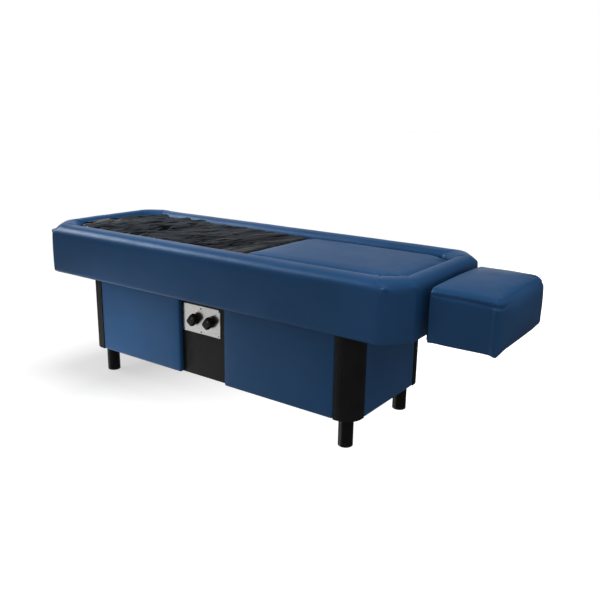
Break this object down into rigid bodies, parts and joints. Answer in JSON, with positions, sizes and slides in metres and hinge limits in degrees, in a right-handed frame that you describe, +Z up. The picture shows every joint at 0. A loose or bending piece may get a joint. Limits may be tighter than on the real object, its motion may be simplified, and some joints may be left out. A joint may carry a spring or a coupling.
{
  "type": "water massage table",
  "caption": "Upholstered water massage table on a cabinet, with jets travelling under a rubber membrane, a lift-out leg pad, two control knobs and a pull-out foot extension.",
  "frame": {"origin": "centre of the whole object's footprint, on the floor", "axes": "+X along the table towards the foot extension, +Z up, -Y the side with the control knobs"},
  "size_m": [2.2276, 0.76, 0.719],
  "materials": {
    "blue_vinyl": "satin upholstery vinyl",
    "black_membrane_rubber": "thin satin rubber sheet",
    "black_laminate": "satin black laminate",
    "black_leg_lacquer": "satin black",
    "stainless_steel": "brushed",
    "chromed_tube": "polished",
    "birch_plywood": "bare plywood",
    "tank_plastic": "moulded",
    "white_acetal": "moulded",
    "black_knob_plastic": "satin black",
    "motor_paint": "grey enamel",
    "hose_rubber": "matt",
    "brass": "bright"
  },
  "bodies": {
    "table": {"deck_rim": "blue_vinyl", "front_panel_head": "blue_vinyl", "front_panel_foot": "blue_vinyl", "end_panel_head": "blue_vinyl", "end_panel_foot": "blue_vinyl", "rear_panel": "blue_vinyl", "water_membrane": "black_membrane_rubber", "cabinet_floor": "black_laminate", "control_column": "black_laminate", "pump_cradle": "black_laminate", "post_head_front": "black_laminate", "post_head_rear": "black_laminate", "post_foot_front": "black_laminate", "post_foot_rear": "black_laminate", "leg_head_front": "black_leg_lacquer", "leg_head_rear": "black_leg_lacquer", "leg_foot_front": "black_leg_lacquer", "leg_foot_rear": "black_leg_lacquer", "membrane_frame": "stainless_steel", "control_plate": "stainless_steel", "jet_rail_front": "stainless_steel", "jet_rail_rear": "stainless_steel", "idler_pin": "stainless_steel", "band_heater": "stainless_steel", "extension_socket_front": "stainless_steel", "extension_socket_rear": "stainless_steel", "deck_frame": "birch_plywood", "deck_floor": "birch_plywood", "support_frame": "birch_plywood", "water_tank": "tank_plastic", "suction_pipe": "tank_plastic", "supply_pipe": "tank_plastic", "pump_housing": "white_acetal", "power_inlet": "black_knob_plastic", "plate_screw_top": "black_knob_plastic", "plate_screw_bottom": "black_knob_plastic", "timer_movement": "motor_paint", "pressure_regulator": "motor_paint", "drive_motor": "motor_paint", "pump_motor": "motor_paint", "control_box": "motor_paint", "drive_belt": "hose_rubber", "supply_hose": "hose_rubber"},
    "timer": {"timer_knob": "black_knob_plastic", "timer_shaft": "stainless_steel"},
    "pressure": {"pressure_knob": "black_knob_plastic", "pressure_shaft": "stainless_steel"},
    "carriage": {"jet_carriage": "white_acetal", "jet_nozzle_front": "brass", "jet_nozzle_rear": "brass", "belt_clamp": "stainless_steel"},
    "driver": {"drive_pulley": "white_acetal"},
    "idler": {"idler_pulley": "white_acetal"},
    "impeller": {"impeller": "brass"},
    "extension": {"foot_extension": "blue_vinyl", "extension_board": "black_laminate", "extension_rod_front": "chromed_tube", "extension_rod_rear": "chromed_tube"},
    "pad": {"leg_pad": "blue_vinyl", "leg_pad_board": "birch_plywood"}
  },
  "joints": [
    {"name": "timer_turn", "type": "hinge", "parent": "table", "child": "timer", "pos_m": [-0.2083, -0.2763, 0.385], "axis": [0, 1, 0], "range_deg": [-38, 262]},
    {"name": "pressure_turn", "type": "hinge", "parent": "table", "child": "pressure", "pos_m": [-0.1183, -0.2763, 0.386], "axis": [0, 1, 0], "range_deg": [-188, 112]},
    {"name": "jet_travel", "type": "slide", "parent": "table", "child": "carriage", "axis": [1, 0, 0], "range_m": [-0.3, 0.3], "deforming": ["supply_hose"]},
    {"name": "driver_turn", "type": "hinge", "parent": "table", "child": "driver", "pos_m": [-0.0513, 0, 0.537], "axis": [0, 0, 1], "range_deg": [-800, 800]},
    {"name": "idler_turn", "type": "hinge", "parent": "table", "child": "idler", "pos_m": [-0.9563, 0, 0.537], "axis": [0, 0, 1], "range_deg": [-800, 800]},
    {"name": "impeller_spin", "type": "hinge", "parent": "table", "child": "impeller", "pos_m": [0.1037, 0, 0.25], "axis": [1, 0, 0], "continuous": true},
    {"name": "extension_pull", "type": "slide", "parent": "table", "child": "extension", "axis": [1, 0, 0], "range_m": [-0.024, 0.15]},
    {"name": "pad_lift", "type": "slide", "parent": "table", "child": "pad", "axis": [0, 0, 1], "range_m": [0, 0.15]}
  ],
  "couplings": [
    {"joint": "driver_turn", "follows": "jet_travel", "rad_per_m": -46.512},
    {"joint": "idler_turn", "follows": "jet_travel", "rad_per_m": -46.512}
  ]
}
